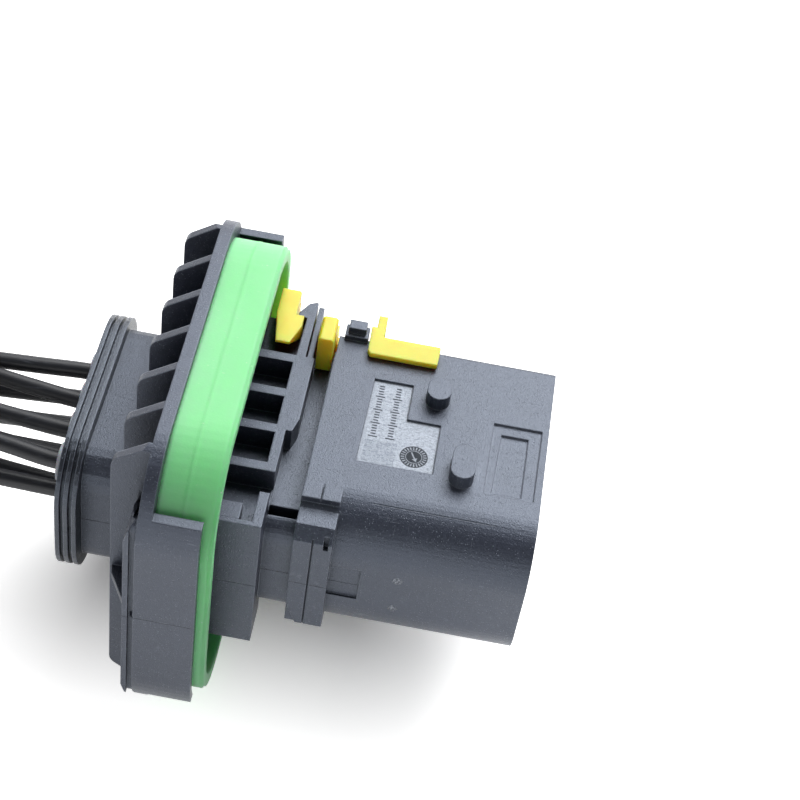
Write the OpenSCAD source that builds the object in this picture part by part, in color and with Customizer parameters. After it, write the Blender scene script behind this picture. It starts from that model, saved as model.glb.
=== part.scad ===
// Sealed twelve way flanged tab connector with its flange seal, slide-in lock and wires.
// Millimetres. X is the mating axis and points out of the mouth, Y runs across, Z is up.
// Inside the modules x = 0 is the flange's seal seat and z = 0 the middle of the flange.

/* [Flange] */
// Width of the flange
flange_w = 56.2; // [56:0.1:58]
// Height of the flange
flange_h = 48; // [47:0.5:52]
// Thickness of the flange plate
flange_t = 1.7; // [1.4:0.1:2]
// Corner radius of the flange
flange_r = 11; // [10:0.5:12]
// Thickness of the lip at each end of the flange
lip_t = 1.2; // [0.8:0.1:1.4]
// How far the end lips stand in front of the seal seat
lip_reach = 6; // [4:0.5:7]
// Height of the end lips
lip_h = 36; // [30:1:38]

/* [Rear webs] */
// Number of upright webs behind the flange
web_n = 7; // [5:2:7]
// Distance between webs
web_pitch = 6.75; // [6.5:0.05:6.9]
// Thickness of a web
web_t = 1.2; // [0.8:0.1:1.6]
// Depth of the webs behind the seal seat
web_reach = 6.5; // [5.5:0.1:7.5]
// Thickness of the level gussets
gusset_t = 1; // [0.8:0.1:1.6]

/* [Flange seal] */
// Thickness of the seal band
seal_t = 2; // [1.6:0.1:2.2]
// Depth of the seal band
seal_reach = 7.4; // [6.8:0.2:8.4]
// Thickness of the wall that carries the seal
carrier_t = 1.2; // [0.8:0.1:1.4]
// Depth of the wall that carries the seal
carrier_reach = 5.5; // [4:0.5:6]

/* [Plinth] */
// Width of the ladder plinth
plinth_w = 39.6; // [39:0.2:41]
// Height of the ladder plinth
plinth_h = 23.8; // [23.4:0.2:24.4]
// Front face of the plinth's strip
strip_front = 12.2; // [12:0.1:12.4]
// Thickness of the plinth's strip
strip_t = 1.3; // [1.1:0.1:1.6]
// Thickness of the ladder's ribs
rung_t = 1.4; // [1.1:0.1:1.6]
// Depth of the pockets between the ribs
pocket_d = 3.5; // [2.5:0.1:3.6]

/* [Shroud] */
// Width of the shroud
shroud_w = 33.76; // [33.4:0.02:34]
// Height of the shroud
shroud_h = 22.6; // [22.2:0.2:23]
// Distance from the seal seat to the mouth
mouth_x = 46.2; // [44:0.2:52]
// Wall thickness of the shroud
shroud_wall = 1.8; // [1.5:0.1:2]
// Radius of the two near corners
near_r = 7.3; // [6.5:0.1:7.6]
// Radius of the two far corners
far_r = 1; // [0.8:0.1:1.4]
// Distance from the seal seat to the floor of the mating well
well_x = 24; // [23:0.5:26]

/* [Terminals] */
// Distance between terminal columns
col_pitch = 5.5; // [5.5:0.02:5.6]
// Distance between terminal rows
row_pitch = 5.6; // [5.6:0.02:5.7]
// Distance of the terminal field's centre from the housing's centre
field_y = -1.7; // [-2:0.1:-1.4]
// Width of the tab
tab_w = 2.8; // [2:0.1:2.8]
// Thickness of the tab
tab_t = 0.8; // [0.6:0.1:0.8]
// How far the tabs stand in the mating well
tab_reach = 12; // [8:0.5:14]
// Diameter of the wire seals
grommet_d = 5; // [4.8:0.05:5.05]
// Diameter of the wires over their insulation
wire_d = 2.3; // [1.8:0.1:2.4]

/* [Lock] */
// Distance that the lock slides inward from this position
lock_travel = 1.3; // [0.8:0.1:1.3]
// Thickness of the lock's two tongues
tongue_t = 1; // [0.8:0.1:1]
// Thickness of the lock's back plate
lock_t = 1.4; // [1.2:0.1:1.6]

/* [Hidden] */
// Clearances: parts that slide, parts that sit still, and a wire in its seal
slide_gap = 0.3;
seat_gap = 0.1;
wire_gap = 0.1;
// Sections of the rear neck and of the ribbed rear collar
neck_w = 28.2;
neck_h = 19.5;
neck_r = 4;
rear_w = 33.6;
rear_h = 23;
rear_r = 7.7;
rear_x = -14.8;
ridge_t = 0.6;
ridge_gap = 0.5;
ridge_d = 0.8;
// Section of the front neck, whose top is the floor of the lock's channel
throat_w = 33.5;
throat_h = 16.4;
throat_r = 3;
// Collar between the channel and the shroud
collar_x = 16.1;
collar_w = 36;
collar_h = 20;
collar_flat = 26;
collar_strip = 2.4;
collar_groove = 0.2;
collar_edge = 1.6;
collar_end = 21.1;
throat_slot = [-14.4, -12.85];
// Coding lugs on the shroud: their extents along X and Y, and their height
far_lug = [[29.3, 32.5], [5.8, 9.9]];
near_lug = [[34, 37.2], [-7.1, -1.2]];
lug_h = 2.1;
// Where the webs' outer corners and the end pads' tapers begin, below the edge
web_corner = 4.5;
pad_taper = 4.5;
// Inner step of the passages, terminal box, and the seals' bores
passage_w = 3.6;
passage_h = 3.2;
passage_x = 17.2;
box_w = 3.2;
box_h = 2.8;
box_len = 14;
barrel_d = 2.8;
sheet_t = 0.4;
barrel_len = 5;
bore_d = grommet_d + 2*seat_gap;
bore_x = -9;
grommet_out = 1;
// The lock's hooks, block and bars
arm_x = [7.1, 9.8];
arm_near = 12.2;
arm_h = 3.2;
arm_tip_h = 0.4;
block_x = [13.65, 15.8];
block_y = [12, 16.4];
block_top = 14.4;
bar_x = [20, 30.1];
bar_y = [13, 16.4];
bar_t = 0.8;
finger_x = [21, 22.2];
finger_y = 20.4;
plate_h = 14.6;
tongue_x = [13.65, 15.8];
tongue_z = row_pitch/2;
tongue_tip = -12.8;
plate_y = shroud_w/2 + lock_travel + slide_gap;
arm_plate_y = plinth_w/2 + lock_travel + slide_gap;
arm_end = arm_plate_y + 1;
hook_h = 2.3;
// How far the lock's arm stands above the plinth
arm_over = 0.5;
// Ladder ribs, the near end of the strip's gap, its wide part and the plinth's near wall
rung_y = [9.85, 3.4, -3.1, -9.8];
gap_y = -14.1;
wide_y = [-3.1, -0.8];
wide_t = 1.4;
near_wall = 0.7;
pocket_x = 1.2;
// Derived values
rear_end = rear_x - grommet_out;
x_mid = (mouth_x + rear_end)/2;
rest_z = flange_h/2;
web_out = (web_n - 1)/2*web_pitch;
plinth_top = plinth_h/2;
arm_top = plinth_top + arm_over;
crimp_x = passage_x - 0.2 - box_len - barrel_len - 6.6;
// A wire's run behind its terminal, and the share of its fall left at each point
run_x = [-16, -23, -30, -37, -44, -51, -58, -65, -72, -79, -87, -96, -106, -117];
fall = [1, 1, 1, 0.97, 0.88, 0.74, 0.57, 0.4, 0.24, 0.11, 0.03, 0, 0, 0];
// How far each wire leans to one side where the loom is drawn together, and the share of it
lean = [[-1.1, 0, 1.3, 0], [-1.1, 0, 1.3, 0.3], [-1.1, 1.8, 1.3, 2.3]];
leaning = [0, 0.5, 1, 1, 0.9, 0.75, 0.55, 0.35, 0.2, 0.1, 0, 0, 0, 0];
// Height of each row above the surface where it lies, its shift to one side and the share
// of that shift at each point
lie_z = [1.2, 1.2, 3.4];
lie_y = [0, 2.75, 1.4];
aside = [0, 0, 0, 0.1, 0.25, 0.45, 0.65, 0.85, 1, 1, 1, 1, 1, 1];
$fn = 48;

function arc(c, r, a0, a1, n) =
    [for (i = [0:n]) c + r*[cos(a0 + (a1 - a0)*i/n), sin(a0 + (a1 - a0)*i/n)]];

// Outline of a rectangle from y0 to y1 with its own radius on the near and on the far corners
function section(y0, y1, h, r0, r1, n) = concat(
    arc([y1 - r1, h/2 - r1], r1, 0, 90, n),
    arc([y0 + r0, h/2 - r0], r0, 90, 180, n),
    arc([y0 + r0, r0 - h/2], r0, 180, 270, n),
    arc([y1 - r1, r1 - h/2], r1, 270, 360, n));

function slab(w, h, r, n) = section(-w/2, w/2, h, r, r, n);

// A half outline closed by its mirror image below
function closed(pts) =
    concat(pts, [for (i = [len(pts) - 1:-1:0]) [pts[i][0], -pts[i][1]]]);

function col_y(c) = field_y + (1.5 - c)*col_pitch;

function row_z(r) = (r - 1)*row_pitch;

module along_x(x0, x1) {
    translate([x0, 0, 0])
        rotate([90, 0, 90])
            linear_extrude(x1 - x0)
                children();
}

module along_y(y0, y1) {
    translate([0, y1, 0])
        rotate([90, 0, 0])
            linear_extrude(y1 - y0)
                children();
}

module block(x, y, z) {
    translate([x[0], y[0], z[0]])
        cube([x[1] - x[0], y[1] - y[0], z[1] - z[0]]);
}

module both_ends() {
    children();
    mirror([0, 1, 0])
        children();
}

module top_and_bottom() {
    children();
    mirror([0, 0, 1])
        children();
}

module placed() {
    translate([-x_mid, 0, rest_z])
        children();
}

// Flange plate with a lip at each end and the wall that carries the seal
module flange() {
    outline = slab(flange_w, flange_h, flange_r, 16);
    in_w = flange_w - 2*lip_t;
    carry_w = in_w - 2*(2*seat_gap + seal_t);
    carry_h = carrier_h();
    along_x(-flange_t, 0)
        polygon(outline);
    intersection() {
        along_x(-flange_t - 0.1, lip_reach)
            difference() {
                polygon(outline);
                polygon(slab(in_w, flange_h - 2*lip_t, flange_r - lip_t, 16));
            }
        cube([4*lip_reach, 2*flange_w, lip_h], center = true);
    }
    along_x(-0.5, carrier_reach)
        difference() {
            polygon(slab(carry_w, carry_h, seal_corner() - seal_t - seat_gap, 16));
            polygon(slab(carry_w - 2*carrier_t, carry_h - 2*carrier_t,
                seal_corner() - seal_t - seat_gap - carrier_t, 16));
        }
}

function seal_corner() = flange_r + 1.5;

function seal_w() = flange_w - 2*(lip_t + seat_gap);

function seal_h() = flange_h - 1.8;

function carrier_h() = seal_h() - 2*(seal_t + seat_gap);

// Rounded pad behind each end of the flange, with a groove along its edge
module end_pad() {
    r = 1.9;
    top = lip_h/2 + 0.1;
    edge = flange_w/2;
    back = -flange_t - 1.5;
    module step(x0, x1, inset) {
        along_x(x0, x1)
            polygon(closed(concat(
                [[web_out, top - pad_taper - inset], [web_out + 4.4, top - 1.6 - inset]],
                arc([edge - r, top - r], r - inset, 75, 0, 6))));
    }
    intersection() {
        union() {
            step(back, back + 0.7, 0);
            step(back + 0.7, -flange_t + 0.1, 0.6);
        }
        along_y(0, edge + 1)
            polygon(closed([[back, top - 3.2], [back + 0.5, top - 1.5], [back + 1.6, top + 0.1]]));
    }
}

// Upright webs behind the flange, cut to its outline
module webs() {
    r = 2;
    top = flange_h/2;
    profile = closed(concat([[-0.5, top], [-flange_t, top]],
        arc([r - web_reach, top - web_corner], r, 120, 180, 4)));
    intersection() {
        for (i = [0:web_n - 1])
            along_y(i*web_pitch - web_out - web_t/2, i*web_pitch - web_out + web_t/2)
                polygon(profile);
        along_x(-web_reach - 1, 0)
            polygon(slab(flange_w, flange_h, flange_r, 16));
    }
}

module gusset() {
    edge = flange_w/2;
    reach = web_reach - 0.15;
    translate([0, 0, -gusset_t/2])
        linear_extrude(gusset_t)
            polygon([[-0.5, neck_w/2 - 1], [-0.5, edge - 0.1], [-flange_t, edge - 0.1],
                [-3.3, edge - 1.5], [1.1 - reach, edge - 4.8], [0.4 - reach, edge - 5.9],
                [-reach, web_out], [-reach, neck_w/2 - 1]]);
}

// Rear neck and the ribbed collar round the wire entries
module rear_neck() {
    along_x(rear_x + 2, -0.5)
        polygon(slab(neck_w, neck_h, neck_r, 5));
    along_x(rear_x, rear_x + 3*ridge_t + 2*ridge_gap)
        polygon(slab(rear_w - 2*ridge_d, rear_h - 2*ridge_d, rear_r - ridge_d, 8));
    for (i = [0:2])
        along_x(rear_x + i*(ridge_t + ridge_gap), rear_x + i*(ridge_t + ridge_gap) + ridge_t)
            polygon(slab(rear_w, rear_h, rear_r, 8));
}

// Ladder plinth: a block with open pockets above and below, and a strip across its front
module plinth() {
    side = plinth_w/2;
    floor_z = plinth_top - pocket_d;
    strip_back = strip_front - strip_t;
    half = rung_t/2;
    far = rung_y[0] + half;
    lip = strip_front + wide_t;
    difference() {
        along_x(-0.5, strip_front)
            square([plinth_w, plinth_h], center = true);
        top_and_bottom() {
            for (i = [0:2])
                block([pocket_x, strip_back], [rung_y[i + 1] + half, rung_y[i] - half],
                    [floor_z, plinth_top + 1]);
            block([pocket_x, strip_back], [near_wall - side, rung_y[3] - half],
                [floor_z, plinth_top + 1]);
            block([strip_back - 1, strip_front + 1], [gap_y, rung_y[3] - half],
                [floor_z, plinth_top + 1]);
            block([pocket_x, 6], [far, side - 1.2], [floor_z, plinth_top + 1]);
            block([5.9, strip_front + 1], [far, side + 1],
                [arm_top - arm_h - slide_gap, plinth_top + 1]);
        }
    }
    top_and_bottom() {
        translate([0, 0, throat_h/2 - 1])
            linear_extrude(plinth_top - throat_h/2 + 1)
                polygon([[strip_front - 0.5, far], [lip, far], [lip, wide_y[1]],
                    [lip - 0.6, wide_y[0]], [strip_front - 0.5, wide_y[0]]]);
        block([6.1, 9.1], [-18, -15.3], [floor_z - 0.5, plinth_top - 1.4]);
    }
}

// Springy hook of the housing that holds the lock, and the wall that guards it
module hook() {
    root = rung_y[0];
    inner = arm_x[1] + slide_gap;
    back = strip_front - strip_t + 0.2;
    front = strip_front + 0.2;
    translate([0, 0, plinth_top - hook_h])
        linear_extrude(hook_h)
            polygon([[back, root], [back + 0.2, 17.9], [inner, 18.2], [inner, 18.8],
                [11.2, 20.8], [front - 0.1, 21.3], [front, 21], [front, root]]);
    block([strip_front + 0.4, block_x[0] - slide_gap], [root, plinth_w/2 + 0.6],
        [throat_h/2 - 0.2, plinth_top]);
}

// Neck between the plinth and the shroud, with the collar in two strips
module throat() {
    groove_x = collar_x + collar_strip;
    side = collar_w/2;
    top = collar_h/2;
    difference() {
        along_x(strip_front - 2, collar_x + 0.5)
            polygon(slab(throat_w, throat_h, throat_r, 8));
        top_and_bottom()
            block([strip_front, collar_x], throat_slot, [throat_h/2 - 2.5, throat_h/2 + 1]);
    }
    difference() {
        along_x(collar_x, collar_end)
            polygon(closed([[-side, top - collar_edge], [collar_edge - side, top],
                [-collar_flat/2, top], [-collar_flat/2, shroud_h/2],
                [collar_flat/2, shroud_h/2], [collar_flat/2, top],
                [side - collar_edge, top], [side, top - collar_edge]]));
        difference() {
            along_x(groove_x, groove_x + collar_groove)
                square([collar_w + 2, shroud_h + 2], center = true);
            along_x(groove_x - 1, groove_x + 1)
                square([collar_w - 0.8, shroud_h - 0.8], center = true);
        }
        collar_reliefs(groove_x);
    }
}

// Cut lower near corner of the collar, its small notch, and the bed of the lock's plate
module collar_reliefs(groove_x) {
    bed = plate_h/2 + slide_gap;
    translate([collar_x, 0, 0])
        along_y(-collar_w/2 - 1, -shroud_w/2)
            polygon([[-1, -4.4], [0, -4.4], [0.7, -6.5], [1.6, -8.7], [2.8, -8.8],
                [5, -10.1], [5, -12], [-1, -12]]);
    block([groove_x + 1.5, groove_x + 2.1], [-collar_w/2 - 1, -shroud_w/2 - 0.3],
        [collar_h/2 - 2.6, collar_h/2 + 1]);
    block([collar_x - 1, collar_end + 1], [shroud_w/2, collar_w/2 + 1], [-bed, bed]);
    block([finger_x[0] - slide_gap, collar_end + 1], [shroud_w/2, collar_w/2 + 1],
        [-collar_h, collar_h]);
}

module shroud() {
    w = shroud_w/2;
    wall = shroud_wall;
    difference() {
        along_x(collar_x + 0.1, mouth_x)
            polygon(section(-w, w, shroud_h, near_r, far_r, 16));
        along_x(well_x, mouth_x + 1)
            polygon(section(wall - w, w - wall, shroud_h - 2*wall, near_r - wall, 0.4, 12));
        side_recess();
    }
}

// Shallow recess low on the shroud's near side
module side_recess() {
    block([collar_end - 0.2, 25.1], [-shroud_w/2 - 1, 0.3 - shroud_w/2], [-2.6, 3.4]);
}

// Raised and sunk details on the top of the shroud
module label_recess() {
    translate([0, 0, shroud_h/2 - 0.3])
        linear_extrude(1)
            polygon([[22.1, 9.5], [27.4, 9.5], [27.4, 3.2], [31.9, 3.2], [31.9, -5.5],
                [21.8, -5.5]]);
}

module mouth_panel() {
    far = mouth_x - 1;
    translate([0, 0, shroud_h/2 - 0.3])
        linear_extrude(1)
            polygon([[far - 6.4, 5.4], [far + 0.1, 5.4], [far, -7.1], [far - 6.5, -7.1]]);
    translate([0, 0, shroud_h/2 - 0.6])
        linear_extrude(1)
            polygon([[far - 5.2, 3.8], [far - 1.6, 3.8], [far - 1.6, -6.6], [far - 5.5, -6.6]]);
}

// Coding lug with rounded ends
module lug(x, y) {
    r = (x[1] - x[0])/2;
    translate([0, 0, shroud_h/2 - 0.5])
        linear_extrude(lug_h + 0.5)
            polygon(concat(
                arc([x[0] + r, y[1] - r], r, 0, 180, 8),
                arc([x[0] + r, y[0] + r], r, 180, 360, 8)));
}

module edge_lug() {
    block([16.9, 20.1], [15.8, collar_w/2], [shroud_h/2 - 1.5, shroud_h/2 + 0.8]);
    block([17.3, 19.7], [16.4, collar_w/2], [shroud_h/2, shroud_h/2 + 1.8]);
}

// Passages for the terminals, their seal bores and the slots for the lock's tongues
module passages() {
    for (c = [0:3], r = [0:2])
        translate([0, col_y(c), row_z(r)]) {
            block([bore_x - 0.5, passage_x], [-passage_w/2, passage_w/2],
                [-passage_h/2, passage_h/2]);
            block([passage_x - 0.5, well_x + 0.5], [-tab_w/2 - seat_gap, tab_w/2 + seat_gap],
                [-tab_t/2 - seat_gap, tab_t/2 + seat_gap]);
            translate([rear_x - 1, 0, 0])
                rotate([0, 90, 0])
                    cylinder(h = bore_x - rear_x + 1, d = bore_d);
        }
    top_and_bottom()
        block([tongue_x[0] - slide_gap, tongue_x[1] + slide_gap],
            [tongue_tip - lock_travel - slide_gap, plinth_w],
            [tongue_z - tongue_t/2 - slide_gap, tongue_z + tongue_t/2 + slide_gap]);
}

module housing() {
    color("#2e3033")
        placed()
            difference() {
                union() {
                    flange();
                    both_ends() {
                        end_pad();
                        gusset();
                    }
                    webs();
                    rear_neck();
                    plinth();
                    hook();
                    throat();
                    shroud();
                    lug(far_lug[0], far_lug[1]);
                    lug(near_lug[0], near_lug[1]);
                    edge_lug();
                }
                passages();
                label_recess();
                mouth_panel();
            }
}

// Band seal with a thin bead round the middle of its outside
module flange_seal() {
    w = seal_w();
    h = seal_h();
    r = seal_corner();
    bead = 0.05;
    bead_x = seal_reach*0.43;
    color("#7ae88f")
        placed()
            difference() {
                union() {
                    along_x(0, seal_reach - 0.4)
                        polygon(slab(w, h, r, 16));
                    along_x(seal_reach - 0.5, seal_reach)
                        polygon(slab(w - 0.6, h - 0.6, r - 0.3, 16));
                    along_x(bead_x, bead_x + 0.4)
                        polygon(slab(w + 2*bead, h + 2*bead, r + bead, 16));
                }
                along_x(-1, seal_reach + 1)
                    polygon(slab(w - 2*seal_t, h - 2*seal_t, r - seal_t, 16));
            }
}

// Slide-in lock: a back plate with a hook arm, a block, an L-shaped bar and two tongues
module secondary_lock() {
    stem = tongue_x[0];
    color("#f4e22c")
        placed() {
            block([stem, 25], [plate_y, plate_y + lock_t], [-plate_h/2, plate_h/2]);
            block([arm_x[0], stem + 1.5], [arm_plate_y, arm_plate_y + lock_t],
                [-plate_h/2, plate_h/2]);
            block([stem, stem + 1.5], [plate_y, arm_plate_y + lock_t],
                [-plate_h/2, plate_h/2]);
            top_and_bottom() {
                lock_arm();
                lock_block();
                lock_bar();
                block(tongue_x, [tongue_tip, plate_y + 0.1],
                    [tongue_z - tongue_t/2, tongue_z + tongue_t/2]);
            }
        }
}

// Hook arm with a ramp under its thin near end, and the foot that ties it to the plate
module lock_arm() {
    front = arm_x[1];
    low = arm_top - arm_h;
    intersection() {
        translate([0, 0, low])
            linear_extrude(arm_h)
                polygon([[arm_x[0], arm_end], [front - 0.2, arm_end],
                    [front, arm_end - 0.3], [front, 17.7], [front + 1.1, 17.7],
                    [front + 1.1, 15.6], [front, arm_near], [arm_x[0] + 0.8, arm_near],
                    [arm_x[0] + 0.3, 15.9], [arm_x[0], 17.6]]);
        along_x(arm_x[0] - 1, front + 2)
            polygon([[arm_near - 1, arm_top - arm_tip_h], [arm_near - 1, arm_top],
                [arm_end + 1, arm_top], [arm_end + 1, low], [17, low],
                [arm_near, arm_top - arm_tip_h]]);
    }
    block(arm_x, [arm_end - 0.8, arm_plate_y + lock_t], [plate_h/2 - 0.5, low + 0.5]);
}

module lock_block() {
    sill = throat_h/2 + slide_gap;
    foot = sill + 1.1;
    along_y(block_y[0], block_y[1])
        polygon([[block_x[0], sill], [block_x[1], sill], [block_x[1], block_top - 0.3],
            [block_x[1] - 0.3, block_top], [block_x[0] + 0.3, block_top],
            [block_x[0], block_top - 0.3]]);
    block(block_x, [block_y[1] - 0.5, plate_y + lock_t], [sill, foot]);
    block(block_x, [plate_y, plate_y + lock_t], [plate_h/2 - 0.5, foot]);
}

module lock_bar() {
    roof = shroud_h/2 + slide_gap;
    translate([0, 0, roof])
        linear_extrude(bar_t)
            polygon([[bar_x[0] + 0.4, bar_y[0] + 0.6], [bar_x[0] + 0.8, bar_y[0]],
                [bar_x[1] - 0.1, bar_y[0]], [bar_x[1], bar_y[1] - 0.4],
                [bar_x[1] - 0.1, bar_y[1]], [finger_x[1], bar_y[1]], [finger_x[1], finger_y],
                [finger_x[0], finger_y], [finger_x[0], collar_w/2 + 0.1],
                [bar_x[0] + 0.3, collar_w/2 + 0.1]]);
    block(finger_x, [plate_y, finger_y], [plate_h/2 - 0.5, roof + 0.5]);
}

// Tab terminal: blade, box and crimped barrel
module terminal(c, r) {
    front = passage_x - 0.2;
    color("#c9c4b4")
        placed()
            translate([0, col_y(c), row_z(r)]) {
                block([front - 0.5, well_x + tab_reach], [-tab_w/2, tab_w/2],
                    [-tab_t/2, tab_t/2]);
                along_x(front - box_len, front)
                    difference() {
                        square([box_w, box_h], center = true);
                        square([box_w - 2*sheet_t, box_h - 2*sheet_t], center = true);
                    }
                block([front - sheet_t, front], [-box_w/2, box_w/2], [-box_h/2, box_h/2]);
                block([crimp_x + barrel_len - 1, front - box_len + 1], [-0.9, 0.9],
                    [-box_h/2, sheet_t - box_h/2]);
                translate([crimp_x, 0, 0])
                    rotate([0, 90, 0])
                        difference() {
                            cylinder(h = barrel_len, d = barrel_d);
                            translate([0, 0, sheet_t])
                                cylinder(h = barrel_len, d = barrel_d - 2*sheet_t);
                        }
            }
}

// Wire seal with three lips, seated on the step of its bore
module wire_seal(c, r) {
    len = bore_x - rear_end;
    groove = 0.25;
    color("#c8ccd4")
        placed()
            translate([rear_end, col_y(c), row_z(r)])
                rotate([0, 90, 0])
                    difference() {
                        union() {
                            cylinder(h = len, d = grommet_d - 2*groove);
                            for (x = [0, 2.7, 4.9])
                                translate([0, 0, x])
                                    cylinder(h = 1.5, d = grommet_d);
                        }
                        translate([0, 0, -1])
                            cylinder(h = len + 2, d = wire_d + 2*wire_gap);
                    }
}

// Plug of a position that has no terminal: a ribbed stem with a hollow behind its head
module cavity_plug(c, r) {
    len = bore_x - rear_end;
    groove = 0.25;
    color("#c8ccd4")
        placed()
            translate([rear_end, col_y(c), row_z(r)])
                rotate([0, 90, 0])
                    difference() {
                        union() {
                            cylinder(h = len, d = grommet_d - 2*groove);
                            for (x = [0, 2.7, 4.9])
                                translate([0, 0, x])
                                    cylinder(h = 1.5, d = grommet_d);
                        }
                        translate([0, 0, -1])
                            cylinder(h = len - 1, d = wire_d);
                    }
}

// Route of one wire from its crimp to its cut end
function route(c, r) = concat(
    [[crimp_x, col_y(c), row_z(r)]],
    [for (i = [0:len(run_x) - 1]) [run_x[i],
        col_y(c) + lie_y[r]*aside[i] + lean[r][c]*leaning[i],
        (lie_z[r] - rest_z)*(1 - fall[i]) + row_z(r)*fall[i]]]);

function unit(v) = v/norm(v);

function heading(p, i) =
    i == 0 ? [-1, 0, 0] : i == len(p) - 1 ? unit(p[i] - p[i - 1]) : unit(p[i + 1] - p[i - 1]);

function ring(p, i, d, n) =
    let (t = heading(p, i), u = unit(cross(t, [0, 1, 0])), v = cross(t, u))
    [for (k = [0:n - 1]) p[i] + d/2*(cos(360*k/n)*u + sin(360*k/n)*v)];

module tube(p, d, n) {
    last = len(p) - 1;
    polyhedron(
        points = [for (i = [0:last]) each ring(p, i, d, n)],
        faces = concat(
            [[for (k = [0:n - 1]) k]],
            [for (i = [0:last - 1], k = [0:n - 1])
                [i*n + k, (i + 1)*n + k, (i + 1)*n + (k + 1)%n, i*n + (k + 1)%n]],
            [[for (k = [n - 1:-1:0]) last*n + k]]));
}

module wire(c, r) {
    color("#1c1c1e")
        placed()
            tube(route(c, r), wire_d, 8);
}

housing();
flange_seal();
secondary_lock();
cavity_plug(3, 0);
terminal(0, 0);  // terminal_01
terminal(1, 0);  // terminal_02
terminal(2, 0);  // terminal_03
terminal(0, 1);  // terminal_05
terminal(1, 1);  // terminal_06
terminal(2, 1);  // terminal_07
terminal(3, 1);  // terminal_08
terminal(0, 2);  // terminal_09
terminal(1, 2);  // terminal_10
terminal(2, 2);  // terminal_11
terminal(3, 2);  // terminal_12
wire_seal(0, 0);  // wire_seal_01
wire_seal(1, 0);  // wire_seal_02
wire_seal(2, 0);  // wire_seal_03
wire_seal(0, 1);  // wire_seal_05
wire_seal(1, 1);  // wire_seal_06
wire_seal(2, 1);  // wire_seal_07
wire_seal(3, 1);  // wire_seal_08
wire_seal(0, 2);  // wire_seal_09
wire_seal(1, 2);  // wire_seal_10
wire_seal(2, 2);  // wire_seal_11
wire_seal(3, 2);  // wire_seal_12
wire(0, 0);  // wire_01
wire(1, 0);  // wire_02
wire(2, 0);  // wire_03
wire(0, 1);  // wire_05
wire(1, 1);  // wire_06
wire(2, 1);  // wire_07
wire(3, 1);  // wire_08
wire(0, 2);  // wire_09
wire(1, 2);  // wire_10
wire(2, 2);  // wire_11
wire(3, 2);  // wire_12
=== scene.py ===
import math
import bmesh
import bpy
from mathutils import Matrix, Vector


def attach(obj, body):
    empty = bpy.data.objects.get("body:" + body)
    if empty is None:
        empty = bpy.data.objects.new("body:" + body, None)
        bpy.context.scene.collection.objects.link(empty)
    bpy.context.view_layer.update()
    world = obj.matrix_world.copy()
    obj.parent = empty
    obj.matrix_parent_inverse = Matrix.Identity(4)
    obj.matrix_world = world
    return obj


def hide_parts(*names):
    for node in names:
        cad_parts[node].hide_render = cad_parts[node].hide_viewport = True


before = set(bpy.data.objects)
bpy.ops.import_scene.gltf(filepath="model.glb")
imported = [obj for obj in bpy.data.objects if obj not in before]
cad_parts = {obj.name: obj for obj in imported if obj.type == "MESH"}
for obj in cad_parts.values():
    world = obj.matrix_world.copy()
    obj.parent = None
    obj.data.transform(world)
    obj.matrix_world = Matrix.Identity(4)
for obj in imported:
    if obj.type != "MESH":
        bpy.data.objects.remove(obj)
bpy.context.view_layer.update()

mm = 0.001
# the part's own drawing has x = 0 on the seal seat and z = 0 in the middle of the flange
seatShift = Vector((-15.2, 0.0, 24.0))


def atSeat(x, y, z):
    return (Vector((x, y, z)) + seatShift) * mm


camera = {
    "place": (0.0136, -0.1650, 0.2155),
    "right": (0.9832, 0.1396, 0.1172),
    "down": (0.1819, -0.7110, -0.6792),
    "forward": (-0.0115, 0.6892, -0.7245),
    "focalPixels": 1870.0,
    "framePixels": 800.0,
}


def makeCamera(c):
    data = bpy.data.cameras.new("camera")
    data.sensor_width = 36.0
    data.lens = c["focalPixels"] / c["framePixels"] * data.sensor_width
    data.clip_start = 0.01
    data.clip_end = 10.0
    obj = bpy.data.objects.new("camera", data)
    forward = Vector(c["forward"]).normalized()
    down = Vector(c["down"])
    down = (down - forward * down.dot(forward)).normalized()
    right = down.cross(forward).normalized()
    turn = Matrix((right, -down, -forward)).transposed()
    obj.matrix_world = Matrix.Translation(Vector(c["place"])) @ turn.to_4x4()
    bpy.context.scene.collection.objects.link(obj)
    bpy.context.scene.camera = obj


makeCamera(camera)
print("camera set")


# one socket of a node tree, so that shader maths reads as an expression
class Sock:
    def __init__(self, tree, socket):
        self.tree = tree
        self.socket = socket

    def sister(self, out):
        return Sock(self.tree, self.socket.node.outputs[out])

    def maths(self, operation, *others):
        return addNode(self.tree, "ShaderNodeMath", {"operation": operation},
                       dict(enumerate((self,) + others)))

    def __add__(self, other):
        return self.maths("ADD", other)

    __radd__ = __add__

    def __mul__(self, other):
        return self.maths("MULTIPLY", other)

    __rmul__ = __mul__

    def __sub__(self, other):
        return self.maths("SUBTRACT", other)

    def __rsub__(self, other):
        return addNode(self.tree, "ShaderNodeMath", {"operation": "SUBTRACT"}, {0: other, 1: self})

    def __or__(self, other):
        return self.maths("MAXIMUM", other)

    # 0 below the edge, 1 above it
    def above(self, edge, soft):
        return addNode(self.tree, "ShaderNodeMapRange", {"clamp": True},
                       {"Value": self, "From Min": edge - soft, "From Max": edge + soft})

    def below(self, edge, soft):
        return 1 - self.above(edge, soft)

    def within(self, low, high, soft):
        return self.above(low, soft) * self.below(high, soft)

    def onLine(self, value, half):
        return (self - value).maths("ABSOLUTE").below(half, half * 0.4)


# any node: its settings first, then the values or links of its sockets
def addNode(tree, kind, settings, sockets, out=0):
    node = tree.nodes.new(kind)
    for name, value in settings.items():
        setattr(node, name, value)
    for name, value in sockets.items():
        target = node.inputs[name]
        if isinstance(value, Sock):
            tree.links.new(value.socket, target)
        else:
            target.default_value = value
    return Sock(tree, node.outputs[out])


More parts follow.
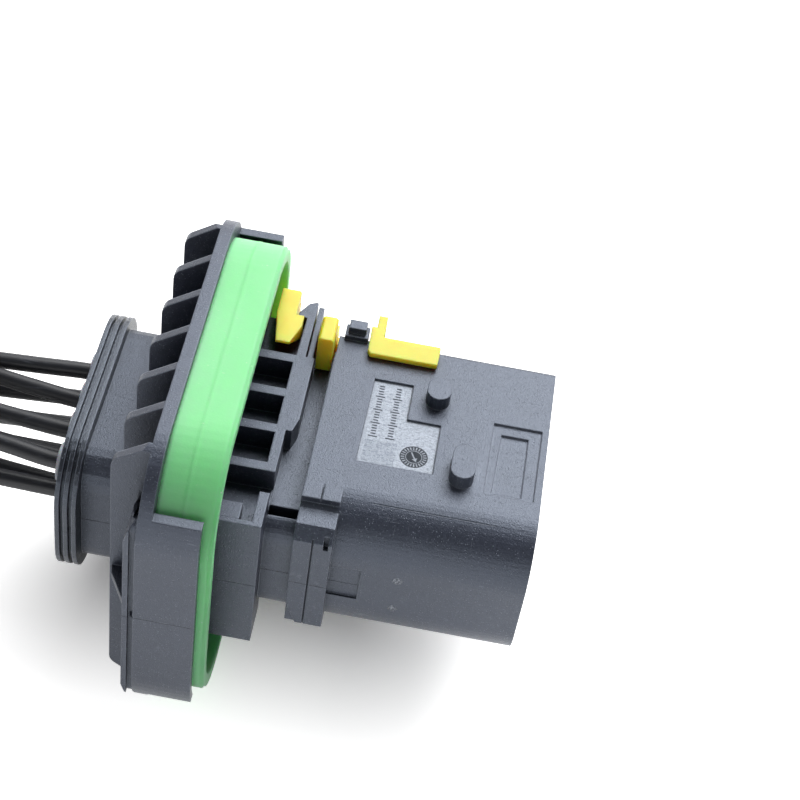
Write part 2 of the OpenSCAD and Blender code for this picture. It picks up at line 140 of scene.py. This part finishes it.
# linear values of a colour that is written as it looks on screen
def colour(hexText):
    values = [int(hexText[i:i + 2], 16) / 255 for i in (0, 2, 4)]
    return tuple(v / 12.92 if v <= 0.04045 else ((v + 0.055) / 1.055) ** 2.4 for v in values) + (1.0,)


def grey(level):
    return (level, level, level, 1.0)


# a material and its shader; the look's plain numbers go on the sockets
def newMaterial(name, look):
    mat = bpy.data.materials.new(name)
    mat.use_nodes = True
    shader = mat.node_tree.nodes["Principled BSDF"]
    for socket, value in look.items():
        shader.inputs[socket].default_value = value
    return mat, mat.node_tree, shader


def feed(tree, shader, **links):
    for name, sock in links.items():
        tree.links.new(sock.socket, shader.inputs[name.replace("_", " ")])


def place(tree):
    return addNode(tree, "ShaderNodeTexCoord", {}, {}, "Object")


def split(vector):
    first = addNode(vector.tree, "ShaderNodeSeparateXYZ", {}, {"Vector": vector})
    return [first.sister(axis) for axis in range(3)]


# millimetres from the seal seat, as atSeat counts them
def seatPlace(tree):
    return split(addNode(tree, "ShaderNodeVectorMath", {"operation": "MULTIPLY_ADD"},
                         {0: place(tree), 1: (1000.0, 1000.0, 1000.0), 2: tuple(-seatShift)}))


def facing(tree):
    return split(addNode(tree, "ShaderNodeNewGeometry", {}, {}, "Normal"))


# 1 where an edge of the shape is close, from how far the rounded normal leans away; edges are painted
# lighter with it, partly worn edges and partly a painted highlight
def edgeWearAndPaintedHighlight(tree, rounded, amount):
    lean = addNode(tree, "ShaderNodeVectorMath", {"operation": "DOT_PRODUCT"},
                   {0: rounded, 1: addNode(tree, "ShaderNodeNewGeometry", {}, {}, "Normal")}, "Value")
    return lean.below(1 - amount, amount * 0.6)


# 1 in the open, towards 0 deep in a recess
def openness(tree, reach):
    return addNode(tree, "ShaderNodeAmbientOcclusion", {"samples": 6}, {"Distance": reach}, "AO")


def noise(tree, where, scale, detail=2.0, rough=0.5):
    return addNode(tree, "ShaderNodeTexNoise", {},
                   {"Vector": where, "Scale": scale, "Detail": detail, "Roughness": rough})


def streaks(tree, where, scale, turn=(0.0, 0.0, 0.0), detail=2.0, rough=0.6):
    stretched = addNode(tree, "ShaderNodeMapping", {}, {"Vector": where, "Scale": scale, "Rotation": turn})
    return noise(tree, stretched, 1.0, detail, rough)


def cells(tree, where, scale):
    return addNode(tree, "ShaderNodeTexVoronoi", {}, {"Vector": where, "Scale": scale}, "Distance")


def blendColour(tree, share, low, high):
    return addNode(tree, "ShaderNodeMix", {"data_type": "RGBA"}, {0: share, 6: low, 7: high}, 2)


def bump(tree, height, strength, distance, under=None):
    sockets = {"Height": height, "Strength": strength, "Distance": distance}
    if under is not None:
        sockets["Normal"] = under
    return addNode(tree, "ShaderNodeBump", {}, sockets)


def softEdge(tree, radius):
    return addNode(tree, "ShaderNodeBevel", {"samples": 6}, {"Radius": radius})


def dressNode(node, mat):
    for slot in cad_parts[node].material_slots:
        slot.material = mat


wires = {
    "columns": [6.55, 1.05, -4.45, -9.95],
    "rows": [-5.6, 0.0, 5.6],
    "places": 12,
    "emptyPlace": 4,
    "start": -8.6,
    "exit": -15.8,
    "run": [-16, -23, -30, -37, -44, -51, -58, -65, -72, -79, -87, -96, -106, -113],
    "fall": [1, 1, 1, 0.97, 0.88, 0.74, 0.57, 0.4, 0.24, 0.11, 0.03, 0, 0, 0],
    "lean": [[-1.1, 0, 1.3, 0], [-1.1, 0, 1.3, 0.3], [-1.1, 1.8, 1.3, 2.3]],
    "leaning": [0, 0.5, 1, 1, 0.9, 0.75, 0.55, 0.35, 0.2, 0.1, 0, 0, 0, 0],
    "lieHeight": [1.2, 1.2, 3.4],
    "lieShift": [0, 2.75, 1.4],
    "aside": [0, 0, 0, 0.1, 0.25, 0.45, 0.65, 0.85, 1, 1, 1, 1, 1, 1],
    "diameter": 2.3,
    "bareEnd": 3.9,
    "tucked": 0.4,
    "strand": 0.24,
    "strandSides": 8,
    "strandSteps": 6,
    "strandRings": [(0.0, 1, 0), (0.25, 6, 0), (0.5, 12, 15)],
    "strandTwist": 22,
    "black": "1f2127",
    "scuffed": "363a43",
    "copper": "c9744a",
    "tarnished": "8f5134",
}


def wireRoute(w, column, row):
    y, z = w["columns"][column], w["rows"][row]
    points = [(w["start"], y, z)]
    for x, f, side, lean in zip(w["run"], w["fall"], w["aside"], w["leaning"]):
        points.append((x, y + w["lieShift"][row] * side + w["lean"][row][column] * lean,
                       (w["lieHeight"][row] - seatShift.z) * (1 - f) + z * f))
    return [atSeat(*p) for p in points]


def wireInsulation(w):
    mat, tree, shader = newMaterial("wireInsulation", {"IOR": 1.48})
    where = place(tree)
    grime = noise(tree, where, 700.0, 3.0, 0.6)
    drawn = streaks(tree, where, (70, 3200, 3200), detail=3.0)
    scuff = streaks(tree, where, (240, 1500, 1500), detail=4.0, rough=0.7).above(0.63, 0.05)
    feed(tree, shader,
         Base_Color=blendColour(tree, scuff * 0.7, colour(w["black"]), colour(w["scuffed"])),
         Roughness=0.34 + grime * 0.14 + scuff * 0.14,
         Normal=bump(tree, drawn + scuff * 0.4, 0.3, 0.00004))
    return mat


def copperMaterial(w):
    mat, tree, shader = newMaterial("copperStrand", {"Metallic": 1.0})
    where = place(tree)
    dull = noise(tree, where, 2200.0, 3.0, 0.6)
    feed(tree, shader,
         Base_Color=blendColour(tree, dull.above(0.52, 0.2), colour(w["copper"]), colour(w["tarnished"])),
         Roughness=0.26 + dull * 0.2,
         Normal=bump(tree, dull, 0.2, 0.00002))
    return mat


# the stripped end of a wire: nineteen strands in rings, laid with a slight twist
def bareEnd(w, name, tip, mat):
    mesh = bmesh.new()
    sides, steps = w["strandSides"], w["strandSteps"]
    r = w["strand"] / 2 * mm
    lanes = [(reach, first + 360 / count * k)
             for reach, count, first in w["strandRings"] for k in range(count)]
    for reach, angle in lanes:
        last = None
        for step in range(steps + 1):
            turn = math.radians(angle + w["strandTwist"] * step / steps)
            centre = tip + Vector((-w["bareEnd"] * step / steps + w["tucked"], reach * math.cos(turn),
                                   reach * math.sin(turn))) * mm
            loop = [mesh.verts.new(centre + Vector((0, math.cos(a), math.sin(a))) * r)
                    for a in (2 * math.pi * k / sides for k in range(sides))]
            if last:
                for k in range(sides):
                    after = (k + 1) % sides
                    mesh.faces.new((last[k], last[after], loop[after], loop[k])).smooth = True
            else:
                mesh.faces.new(loop)
            last = loop
        mesh.faces.new(list(reversed(last)))
    bmesh.ops.recalc_face_normals(mesh, faces=mesh.faces)
    data = bpy.data.meshes.new(name)
    mesh.to_mesh(data)
    mesh.free()
    data.materials.append(mat)
    obj = bpy.data.objects.new(name, data)
    bpy.context.scene.collection.objects.link(obj)
    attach(obj, "connector")
    return obj


def makeWires(w):
    mat, copper = wireInsulation(w), copperMaterial(w)
    for number in range(1, w["places"] + 1):
        if number == w["emptyPlace"]:
            continue
        row, column = divmod(number - 1, len(w["columns"]))
        route = wireRoute(w, column, row)
        curve = bpy.data.curves.new("wireRun%02d" % number, "CURVE")
        curve.dimensions = "3D"
        curve.bevel_depth = w["diameter"] / 2 * mm
        curve.bevel_resolution = 5
        curve.resolution_u = 6
        curve.use_fill_caps = True
        spline = curve.splines.new("BEZIER")
        spline.bezier_points.add(len(route) - 1)
        for point, spot in zip(spline.bezier_points, route):
            point.co = spot
            point.handle_left_type = point.handle_right_type = "AUTO"
        curve.materials.append(mat)
        obj = bpy.data.objects.new("wireRun%02d" % number, curve)
        bpy.context.scene.collection.objects.link(obj)
        strands = bareEnd(w, "bareEnd%02d" % number, route[-1], copper)
        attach(obj, "connector")
        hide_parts("wire_%02d" % number)
    print("wires laid")


makeWires(wires)

housingLook = {
    "dark": "292c37",
    "light": "3d4150",
    "speck": "989dab",
    "pitRim": "c0c5d0",
    "wornAndPaintedLight": "858b9a",
    "darkJointAndPaintedShade": "14171e",
    "lipTone": "121419",
    "lipEnd": -11.9,
    "sheen": (0.74, 0.84, 1.0, 1.0),
    "grainScale": 4300.0,
    "speckScale": 3300.0,
    "edge": 0.00026,
    "recessReach": 0.005,
    "reliefStart": 34.0,
    "topFace": 10.6,
    "seamHalf": 0.05,
    "seamEnd": 25.0,
    "flashHeight": 0.09,
    "groove": {"y": -11.85, "x": (25.1, 41.0)},
    "ejectors": [(29.9, 2.7), (29.9, -3.1)],
    "ejectorRadius": 0.6,
    "paintedSilverSheen": "b2b8c2",
    "paintedSilverSheenDull": "5a606b",
    "ink": "121418",
    "plateSpans": [((21.0, 32.0), (-5.6, 3.3)), ((21.0, 27.5), (3.0, 9.6))],
    "plateHeights": (10.7, 11.12),
    "darkerBlock": ((22.4, 26.7), (-5.2, -1.2)),
    "dial": {"centre": (29.1, -2.9), "rim": 1.85, "ticks": 24, "tickRing": (1.22, 1.7), "hub": 1.06},
    "scales": [{"x": 23.3, "y": (-0.8, 8.8)}, {"x": 25.6, "y": (-0.8, 8.8)}],
    "scaleStep": 0.48,
    "strokeReach": (0.34, 0.62),
}


# a plain dial: a dark disc with a light ring of ticks, a hub line and a pointer
def dialInk(h, x, y):
    d = h["dial"]
    dx, dy = x - d["centre"][0], y - d["centre"][1]
    r = (dx * dx + dy * dy).maths("SQRT")
    turn = dy.maths("ARCTAN2", dx) * (d["ticks"] / (2 * math.pi))
    ticks = turn.maths("FRACT").within(0.27, 0.73, 0.08) * r.within(*d["tickRing"], 0.03)
    pointer = (dx + dy * 0.5).onLine(0.0, 0.1) * r.below(0.85, 0.03)
    barb = (dx * 0.5 - dy).within(0.35, 0.75, 0.04) * ((dx + dy * 0.5).maths("ABSOLUTE") * 1.4
                                                      + (dx * 0.5 - dy)).below(0.95, 0.05)
    return r.below(d["rim"], 0.05) * (1 - (ticks | r.onLine(d["hub"], 0.05) | pointer | barb) * 0.75)


# a plain scale: a row of short strokes, every fifth one longer
def scaleInk(h, x, y):
    ink = 0
    for scale in h["scales"]:
        along = y - scale["y"][0]
        off = (x - scale["x"]).maths("ABSOLUTE")
        each = (along * (1 / h["scaleStep"])).maths("FRACT").within(0.3, 0.72, 0.08)
        fifth = (along * (0.2 / h["scaleStep"])).maths("FRACT").within(0.06, 0.144, 0.016)
        strokes = each * off.below(h["strokeReach"][0], 0.04) | fifth * off.below(h["strokeReach"][1], 0.04)
        ink = strokes * y.within(*scale["y"], 0.02) + ink
    return ink


def housingPlastic(h):
    mat, tree, shader = newMaterial("housingPlastic", {"IOR": 1.5, "Specular IOR Level": 0.85,
                                                         "Specular Tint": h["sheen"]})
    where = place(tree)
    x, y, z = seatPlace(tree)
    nx, ny, nz = facing(tree)
    rounded = softEdge(tree, h["edge"])
    cloud = noise(tree, where, 140.0, 4.0, 0.65)
    grain = noise(tree, where, h["grainScale"], 3.0, 0.75)
    specks = (cells(tree, where, h["speckScale"]).below(0.2, 0.08)
              * noise(tree, where, 1500.0).above(0.5, 0.06))
    scratches = (streaks(tree, where, (260, 6500, 260), (0.3, 0.5, 0.6)).above(0.7, 0.02)
                 | streaks(tree, where, (6500, 320, 320), (0.0, 0.2, -0.5)).above(0.71, 0.02))
    tone = blendColour(tree, cloud.above(0.5, 0.25) * 0.45 + grain.above(0.5, 0.14) * 0.55,
                       colour(h["dark"]), colour(h["light"]))
    lip = x.below(h["lipEnd"], 0.05)    # the ring round the wire entries is blacker and shinier
    tone = blendColour(tree, lip * 0.9, tone, colour(h["lipTone"]))
    tone = blendColour(tree, specks * 0.55 + scratches * 0.22, tone, colour(h["speck"]))
    # Edges are painted lighter: partly worn edges, partly a painted highlight.
    rubAndPaintedHighlight = edgeWearAndPaintedHighlight(tree, rounded, 0.07) * (0.25 + grain * 0.7 + lip * 0.3)
    tone = blendColour(tree, rubAndPaintedHighlight, tone, colour(h["wornAndPaintedLight"]))

    # joint of the two mould halves, cut marks of the ejectors and a fine witness line
    patchy = noise(tree, where, 1300.0, 3.0, 0.7)
    parting = nz.maths("ABSOLUTE").below(0.4, 0.1) * x.below(h["seamEnd"], 0.05)
    seam = z.onLine(0.0, h["seamHalf"]) * parting * patchy.above(0.36, 0.05)
    flash = z.onLine(h["flashHeight"], h["seamHalf"]) * parting * patchy.above(0.56, 0.05)
    line = (y.onLine(h["groove"]["y"], 0.06) * z.above(9.0, 0.1)
            * x.within(*h["groove"]["x"], 0.05) * patchy.above(0.34, 0.08))
    pits = 0
    for px, pz in h["ejectors"]:
        dx, dz = x - px, z - pz
        pits = (dx * dx + dz * dz).maths("SQRT").below(h["ejectorRadius"], 0.12) + pits
    pits = pits * ny.below(-0.9, 0.05) * noise(tree, where, 3600.0, 2.0, 0.6).above(0.5, 0.06)
    tone = blendColour(tree, (seam | line) * 0.75, tone, colour(h["darkJointAndPaintedShade"]))
    tone = blendColour(tree, flash * 0.6, tone, colour(h["speck"]))
    tone = blendColour(tree, pits * 0.8, tone, colour(h["pitRim"]))

    # the recess with its dial and scales: its smooth, polished floor is painted light silver, a painted
    # reflection, with the dial and scales printed on it in dark ink
    lower, upper = [x.within(*spanX, 0.02) * y.within(*spanY, 0.02) for spanX, spanY in h["plateSpans"]]
    plate = (lower | upper) * z.within(*h["plateHeights"], 0.03) * nz.above(0.9, 0.02)
    brushed = streaks(tree, where, (1500, 6000, 1500), (0.0, 0.0, 0.7), 3.0, 0.7)
    mottled = noise(tree, where, 2600.0, 4.0, 0.8)
    # a darker block over the lower left of the plate
    darkerBlock = x.within(*h["darkerBlock"][0], 0.04) * y.within(*h["darkerBlock"][1], 0.04)
    dull = brushed.above(0.55, 0.12) * 0.4 + mottled.above(0.53, 0.1) * 0.55 + darkerBlock * 0.3
    paintedSilverSheen = blendColour(tree, dull, colour(h["paintedSilverSheen"]), colour(h["paintedSilverSheenDull"]))
    ink = (dialInk(h, x, y) | scaleInk(h, x, y)) * plate
    paintedSilverSheen = blendColour(tree, ink * 0.94, paintedSilverSheen, colour(h["ink"]))
    tone = blendColour(tree, plate, tone, paintedSilverSheen)

    # Painted shade: outside the faint relief at the mouth, recesses are blended towards the dark joint
    # colour by ambient occlusion. Inside the relief, the recessed faces at the top are painted lighter
    # instead, painted light that offsets their real shade so the relief stays as light as its surroundings.
    deep = openness(tree, h["recessReach"]).below(0.57, 0.36)
    relief = x.above(h["reliefStart"], 0.1) * nx.maths("ABSOLUTE").below(0.99, 0.005)
    tone = blendColour(tree, deep * (1 - relief) * 0.9, tone, colour(h["darkJointAndPaintedShade"]))
    tone = blendColour(tree, deep * relief * z.above(h["topFace"], 0.1) * 0.6, tone, colour(h["wornAndPaintedLight"]))

    height = (grain + cloud * 0.4 + specks * 0.5 - seam * 2.0 - line * 2.0
              + flash * 1.2 + pits * 2.0 - scratches * 0.12)
    feed(tree, shader,
         Base_Color=tone,
         Roughness=0.3 + grain * 0.16 - specks * 0.1 + ink * 0.5 - lip * 0.06,
         Normal=bump(tree, height, 0.75, 0.00008, rounded))
    return mat


dressNode("housing", housingPlastic(housingLook))

sealLook = {"lit": "9cf6ae", "deep": "8aee9c", "dust": "e9ffec", "edge": 0.0007}


def sealSilicone(s):
    mat, tree, shader = newMaterial("sealSilicone", {"IOR": 1.42, "Subsurface Weight": 0.6,
                                                     "Subsurface Scale": 0.0028,
                                                     "Subsurface Radius": (0.35, 1.0, 0.45)})
    where = place(tree)
    cloud = noise(tree, where, 90.0, 3.0, 0.55)
    grain = noise(tree, where, 3600.0, 2.0, 0.6)
    dust = cells(tree, where, 620.0).below(0.07, 0.03) * noise(tree, where, 210.0).above(0.55, 0.05)
    lint = streaks(tree, where, (900, 4500, 900), (0.2, 0.4, 0.9)).above(0.73, 0.015)
    tone = blendColour(tree, cloud.above(0.5, 0.3), colour(s["deep"]), colour(s["lit"]))
    feed(tree, shader,
         Base_Color=blendColour(tree, dust * 0.7 + lint * 0.3, tone, colour(s["dust"])),
         Roughness=0.44 + grain * 0.14,
         Normal=bump(tree, grain + dust * 0.8 + cloud * 0.6, 0.22, 0.00006, softEdge(tree, s["edge"])))
    return mat


dressNode("flange_seal", sealSilicone(sealLook))

lockLook = {"lit": "ffe646", "deep": "ffd82a", "rubAndPaintedHighlight": "ffee90", "edge": 0.0003}


def lockPlastic(k):
    mat, tree, shader = newMaterial("lockPlastic", {"IOR": 1.49, "Subsurface Weight": 0.85,
                                                    "Subsurface Scale": 0.0024,
                                                    "Subsurface Radius": (1.0, 0.42, 0.06)})
    where = place(tree)
    rounded = softEdge(tree, k["edge"])
    cloud = noise(tree, where, 260.0, 3.0, 0.5)
    grain = noise(tree, where, 4600.0, 2.0, 0.6)
    tone = blendColour(tree, cloud.above(0.5, 0.3), colour(k["deep"]), colour(k["lit"]))
    # Edges are painted lighter: partly worn edges, partly a painted highlight.
    feed(tree, shader,
         Base_Color=blendColour(tree, edgeWearAndPaintedHighlight(tree, rounded, 0.06) * 0.4, tone, colour(k["rubAndPaintedHighlight"])),
         Roughness=0.38 + grain * 0.14,
         Normal=bump(tree, grain + cloud * 0.5, 0.25, 0.00005, rounded))
    return mat


dressNode("secondary_lock", lockPlastic(lockLook))

terminalLook = {"tin": "c9c6bb", "wornAndPaintedLight": "a8a294", "nick": "7c776b"}


def terminalTin(t):
    mat, tree, shader = newMaterial("terminalTin", {"Metallic": 1.0})
    where = place(tree)
    drawn = streaks(tree, where, (200, 5000, 5000), detail=3.0)
    nicks = cells(tree, where, 1500.0).below(0.1, 0.03)
    tone = blendColour(tree, drawn.above(0.55, 0.25), colour(t["tin"]), colour(t["wornAndPaintedLight"]))
    feed(tree, shader,
         Base_Color=blendColour(tree, nicks * 0.4, tone, colour(t["nick"])),
         Roughness=0.24 + drawn * 0.22,
         Normal=bump(tree, drawn - nicks * 0.6, 0.15, 0.00003, softEdge(tree, 0.0001)))
    return mat


wireSealLook = {"lit": "dfe3ea", "deep": "b3b9c6"}


def wireSealSilicone(s):
    mat, tree, shader = newMaterial("wireSealSilicone", {"IOR": 1.42, "Subsurface Weight": 0.3,
                                                         "Subsurface Scale": 0.001})
    where = place(tree)
    cloud = noise(tree, where, 700.0, 3.0, 0.6)
    grain = noise(tree, where, 5200.0, 2.0, 0.6)
    feed(tree, shader,
         Base_Color=blendColour(tree, cloud.above(0.5, 0.25), colour(s["deep"]), colour(s["lit"])),
         Roughness=0.36 + cloud * 0.16,
         Normal=bump(tree, cloud + grain * 0.4, 0.25, 0.00006, softEdge(tree, 0.00015)))
    return mat


tin = terminalTin(terminalLook)
silicone = wireSealSilicone(wireSealLook)
dressNode("cavity_plug", silicone)
for number in range(1, wires["places"] + 1):
    if number != wires["emptyPlace"]:
        dressNode("terminal_%02d" % number, tin)
        dressNode("wire_seal_%02d" % number, silicone)
print("materials set")

stage = {
    "floorHalf": 3.0,
    "floorTone": 0.8,
    "floorSeen": 1.0,
    "glowInPaintedShadow": 0.06,
    "glowOutsidePaintedShadow": 0.9,
    "paintedShadowCentre": (-8.0, 0.0),
    "paintedShadowHalfLength": 16.0,
    "paintedShadowReach": (1.0, 25.0),
    "skyLight": 0.1,
    "skyDim": 0.15,
    "skyTop": (0.42, 0.12),
    "skyBack": (0.12, 0.2),
    "key": {"place": (0.16, 0.46, 0.60), "size": 0.7, "power": 8.0},
    "fill": {"place": (0.02, -0.60, 0.10), "size": 0.4, "power": 0.55},
}


def makeFloor(s):
    mesh = bpy.data.meshes.new("floor")
    half = s["floorHalf"]
    corners = [(-half, -half, 0), (half, -half, 0), (half, half, 0), (-half, half, 0)]
    mesh.from_pydata(corners, [], [(0, 1, 2, 3)])
    obj = bpy.data.objects.new("floor", mesh)
    bpy.context.scene.collection.objects.link(obj)
    mat, tree, shader = newMaterial("floorPaper", {"Roughness": 0.9, "Specular IOR Level": 0.1,
                                                   "Emission Strength": 1.0})
    seen = seenDirectly(tree)
    x, y = split(place(tree))[:2]
    # Painted shadow: the floor's camera-seen glow drops from the far level to the near level in a capsule
    # round the object, a painted shadow pool under and beside it.
    dx = ((x * 1000 - s["paintedShadowCentre"][0]).maths("ABSOLUTE") - s["paintedShadowHalfLength"]) | 0.0
    dy = y * 1000 - s["paintedShadowCentre"][1]
    near, far = s["paintedShadowReach"]
    outsidePaintedShadow = (dx * dx + dy * dy).maths("SQRT").above((near + far) / 2, (far - near) / 2)
    paper = noise(tree, place(tree), 1500.0, 3.0, 0.7).above(0.5, 0.4) * 0.16 + s["floorSeen"] - 0.08
    glowWithPaintedShadow = blendColour(tree, outsidePaintedShadow, grey(s["glowInPaintedShadow"]), grey(s["glowOutsidePaintedShadow"]))
    feed(tree, shader,
         Base_Color=blendColour(tree, seen, grey(s["floorTone"]), paper),
         Emission_Color=blendColour(tree, seen, grey(0.0), glowWithPaintedShadow))
    mesh.materials.append(mat)


# 1 for what the camera and clear or shiny surfaces see, 0 for what lights the object
def seenDirectly(tree):
    seen = addNode(tree, "ShaderNodeLightPath", {}, {}, "Is Camera Ray")
    return seen | seen.sister("Is Glossy Ray") | seen.sister("Is Transmission Ray")


def makeLamp(name, lamp):
    data = bpy.data.lights.new(name, "AREA")
    data.shape = "DISK"
    data.size = lamp["size"]
    data.energy = lamp["power"]
    obj = bpy.data.objects.new(name, data)
    target = Vector((0, 0, 0.02))
    obj.location = Vector(lamp["place"])
    obj.rotation_euler = (target - obj.location).to_track_quat("-Z", "Y").to_euler()
    bpy.context.scene.collection.objects.link(obj)


def makeSky(s):
    world = bpy.data.worlds.new("sky")
    bpy.context.scene.world = world
    world.use_nodes = True
    tree = world.node_tree
    tree.nodes.clear()
    seen = seenDirectly(tree)
    y, z = split(addNode(tree, "ShaderNodeTexCoord", {}, {}, "Generated"))[1:]
    white = z.below(*s["skyTop"]) | y.above(*s["skyBack"])    # dim only high up on the near side
    strength = seen * (white * (1 - s["skyDim"]) + (s["skyDim"] - s["skyLight"])) + s["skyLight"]
    back = addNode(tree, "ShaderNodeBackground", {}, {"Color": (1, 1, 1, 1), "Strength": strength})
    output = tree.nodes.new("ShaderNodeOutputWorld")
    tree.links.new(back.socket, output.inputs["Surface"])


makeFloor(stage)
makeSky(stage)
makeLamp("keyLamp", stage["key"])
makeLamp("fillLamp", stage["fill"])
bpy.context.scene.view_settings.view_transform = "Standard"
print("stage lit")
